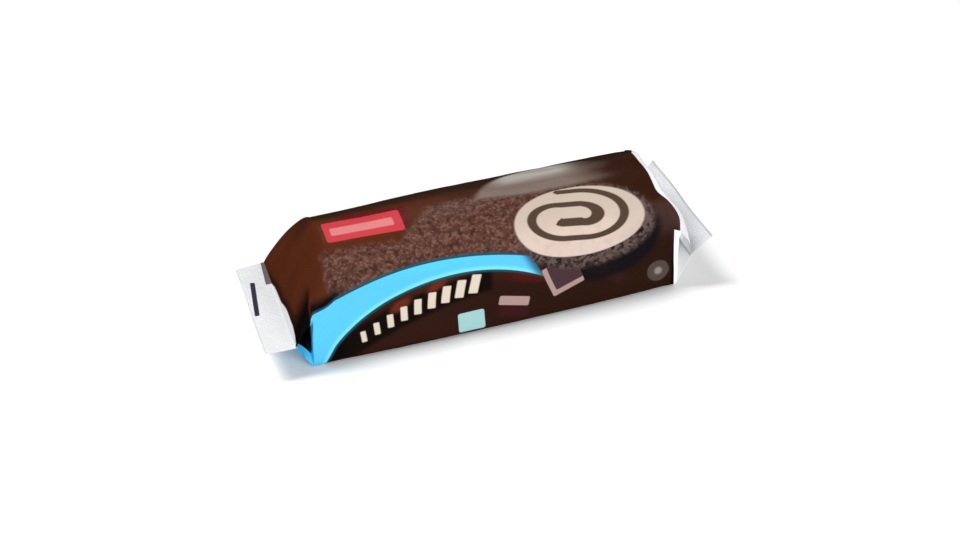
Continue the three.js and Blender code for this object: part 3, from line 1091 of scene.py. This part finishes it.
def ornament_print(place, under):
    """A plain string of cream lozenges along a dark band, growing to the right."""
    band = (place.away_from(STRING_MIDDLE) - STRING_RADIUS).size() - BAND_HALF_WIDTH
    ends = (place.s - BAND_MIDDLE).size() - BAND_HALF_LENGTH
    made = blend(under, NEAR_BLACK, inside(band.greater(ends), 4.0) * 0.85)
    for outline in WARM_OUTLINES:
        made = blend(made, WARM_PATCH, inside(place.ellipse(*outline), 3.0) * 0.85)
    made = blend(made, MAROON_PATCH, inside(place.ellipse(*MAROON_OUTLINE), 3.0) * 0.85)
    for i in range(STRING_COUNT):
        along = i / (STRING_COUNT - 1)
        degrees = lerp(*STRING_ANGLES, along)
        angle = math.radians(degrees)
        height = lerp(*LOZENGE_HEIGHTS, along)
        middle = (
            STRING_MIDDLE[0] + STRING_RADIUS * math.cos(angle),
            STRING_MIDDLE[1] + STRING_RADIUS * math.sin(angle),
        )
        half = (height * LOZENGE_WIDTH, height)
        lozenge = place.plate(middle, half, LOZENGE_CORNER, degrees - LOZENGE_UPRIGHT)
        made = blend(made, ORNAMENT, inside(lozenge, 0.8))
    return made


def white_margins(place, under):
    """The unprinted film: all of the right end, brighter in its gusset with painted light, and a
    strip beside the left end's fin, with painted shade along it.
    """
    level = place.level()
    ear = ramp(level, *EAR_LEVEL) * EAR_REACH + EAR_START
    side = level * SIDE_SLANT + SIDE_START
    below_ear = ramp(level, *EAR_FOOT_LEVEL)
    edge = place.s - (ear * (-below_ear + 1) + side * below_ear)
    # Painted light: below the ear the gusset's white is brighter than the film.
    white = blend(WHITE_FILM, WHITE_GUSSET_PAINTED_LIGHT, below_ear)
    made = blend(under, white, inside(-edge))
    strip = (place.t * -1 + STRIP_TOP).greater(0) * STRIP_SLANT + STRIP_START
    left = place.s - strip + ramp(place.t, *STRIP_FOOT_T) * STRIP_OFF_SIDE
    # Painted shade: near-black along the strip's edge, at the fin's root.
    made = blend(made, NEAR_BLACK, ramp(left, *STRIP_SHADE) * 0.7)
    return blend(made, WHITE_FILM, inside(left, 1.0))


def wrap_print(place):
    """The whole print of the wrap, from the ground up."""
    made = ground_print(place)
    made = crumb_print(place, made)
    made = sheen_print(place, made)
    made = ornament_print(place, made)
    made = blue_print(place, made)
    made = block_print(place, made)
    made = slice_print(place, made)
    made = small_prints(place, made)
    return white_margins(place, made)


def left_fin_print(place):
    """White film with the dark mark that the wrapping machine reads. s is the way out along
    the fin's upper face, t the way across the pack."""
    made = blend(WHITE_FILM, EYE_MARK, inside(place.plate(*FIN_MARK), 0.4))
    # The spot at the root is partly the brown film and partly painted shade in the gap under the
    # flap.
    return blend(made, FIN_BROWN_AND_SHADE, inside(place.plate(*FIN_SPOT)) * 0.9)


def right_fin_print(place):
    """White film, a touch darker as painted shade, with painted shade greying
    its cut edge.
    """
    from_edge = (place.s - FIN_DEPTH - FIN_THICKNESS / 2).size()
    return blend(WHITE_FIN_PAINTED_SHADE, FIN_EDGE_PAINTED_SHADE, ramp(from_edge, *FIN_EDGE_SHADE_FADE))


def film_material(name, film_print, roughness):
    """A glossy film with its print. It lies slack in small soft dents, which also vary its
    gloss about the given roughness."""
    material = bpy.data.materials.new(name)
    material.use_nodes = True
    tree = material.node_tree
    shader = tree.nodes["Principled BSDF"]
    shader.inputs["IOR"].default_value = FILM_IOR
    place = Place(tree)
    plug(tree, shader.inputs["Base Color"], film_print(place))
    dents = place.noise(DENT_SIZE, 3)
    plug(tree, shader.inputs["Roughness"], (dents - 0.5) * GLOSS_SPREAD + roughness)
    bump = tree.nodes.new("ShaderNodeBump")
    bump.inputs["Strength"].default_value = 1.0
    bump.inputs["Distance"].default_value = DENT_DEPTH * MM
    plug(tree, bump.inputs["Height"], dents)
    tree.links.new(bump.outputs["Normal"], shader.inputs["Normal"])
    return material


# ---------------------------------------------------------------- floor, lights and camera


def add_floor():
    """A plain white floor, which the film doesn't mirror."""
    bpy.ops.mesh.primitive_plane_add(size=FLOOR_SIZE, location=(0, 0, 0))
    floor = bpy.context.object
    floor.name = "floor"
    material = bpy.data.materials.new("floor")
    material.use_nodes = True
    shader = material.node_tree.nodes["Principled BSDF"]
    shader.inputs["Base Color"].default_value = (FLOOR_GREY, FLOOR_GREY, FLOOR_GREY, 1)
    shader.inputs["Roughness"].default_value = 0.9
    shader.inputs["Specular IOR Level"].default_value = 0.1
    floor.data.materials.append(material)
    floor.visible_glossy = False


def add_light(name, place, size, power, glossy):
    """A soft light, round or oval, that points at the pack. size is its width and its height,
    in metres, and glossy tells whether the film mirrors it."""
    data = bpy.data.lights.new(name, "AREA")
    data.shape = "ELLIPSE"
    data.size, data.size_y = size
    data.energy = power
    light = bpy.data.objects.new(name, data)
    light.location = place
    aim = Vector(LIGHTS_AIM) - Vector(place)
    light.rotation_euler = aim.to_track_quat("-Z", "Y").to_euler()
    light.visible_glossy = glossy
    bpy.context.scene.collection.objects.link(light)


def add_world(strength):
    """Even white light from all round, which the film doesn't mirror."""
    world = bpy.data.worlds.new("studio")
    world.use_nodes = True
    shade = world.node_tree.nodes["Background"]
    shade.inputs["Color"].default_value = (1, 1, 1, 1)
    shade.inputs["Strength"].default_value = strength
    world.cycles_visibility.glossy = False
    bpy.context.scene.world = world


def add_camera(shift):
    """The camera, at the photograph's viewing angle."""
    target = Vector(LOOK_AT) + Vector((shift, 0, 0))
    back = Vector(
        (
            -math.sin(CAMERA_YAW) * math.cos(CAMERA_PITCH),
            -math.cos(CAMERA_YAW) * math.cos(CAMERA_PITCH),
            math.sin(CAMERA_PITCH),
        )
    )
    data = bpy.data.cameras.new("camera")
    data.lens = LENS
    data.clip_start = 0.01
    camera = bpy.data.objects.new("camera", data)
    camera.location = (target + back * CAMERA_DISTANCE) * MM
    camera.rotation_euler = (-back).to_track_quat("-Z", "Y").to_euler()
    bpy.context.scene.collection.objects.link(camera)
    bpy.context.scene.camera = camera


# ---------------------------------------------------------------- the scene

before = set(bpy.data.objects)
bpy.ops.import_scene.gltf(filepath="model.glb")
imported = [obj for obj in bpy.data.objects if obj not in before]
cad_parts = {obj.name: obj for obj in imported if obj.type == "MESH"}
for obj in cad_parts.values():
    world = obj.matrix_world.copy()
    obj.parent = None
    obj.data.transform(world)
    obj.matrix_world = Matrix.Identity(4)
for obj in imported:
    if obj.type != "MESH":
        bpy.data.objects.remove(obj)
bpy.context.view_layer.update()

# The left fin's tip lies at the solid's end. That says how far off x = 0 the film's middle is.
left_tip = -(LEFT_END["seal_at"] + FIN_DEPTH * math.cos(LEFT_END["fin_tilt"]))
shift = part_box("pack")[0][0] / MM - left_tip

printed_film = film_material("printed_film", wrap_print, PRINTED_ROUGHNESS)
marked_film = film_material("marked_film", left_fin_print, WHITE_ROUGHNESS)
white_film = film_material("white_film", right_fin_print, WHITE_ROUGHNESS)
brown_film = film_material("brown_film", ground_print, PRINTED_ROUGHNESS)

film_wrap = film_object(shift, printed_film)
fin_left = fin_object("fin_left", LEFT_END, shift, marked_film)
fin_right = fin_object("fin_right", RIGHT_END, shift, white_film)
long_seam = seam_object(shift, brown_film)
for piece in (film_wrap, fin_left, fin_right, long_seam):
    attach(piece, "root")
    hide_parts("pack")

# The white fin isn't mirrored in the dark flap beside it.
fin_left.visible_glossy = False

add_floor()
for light in LIGHTS:
    add_light(*light)
add_world(SKY_STRENGTH)
add_camera(shift)
bpy.context.scene.view_settings.view_transform = "Standard"
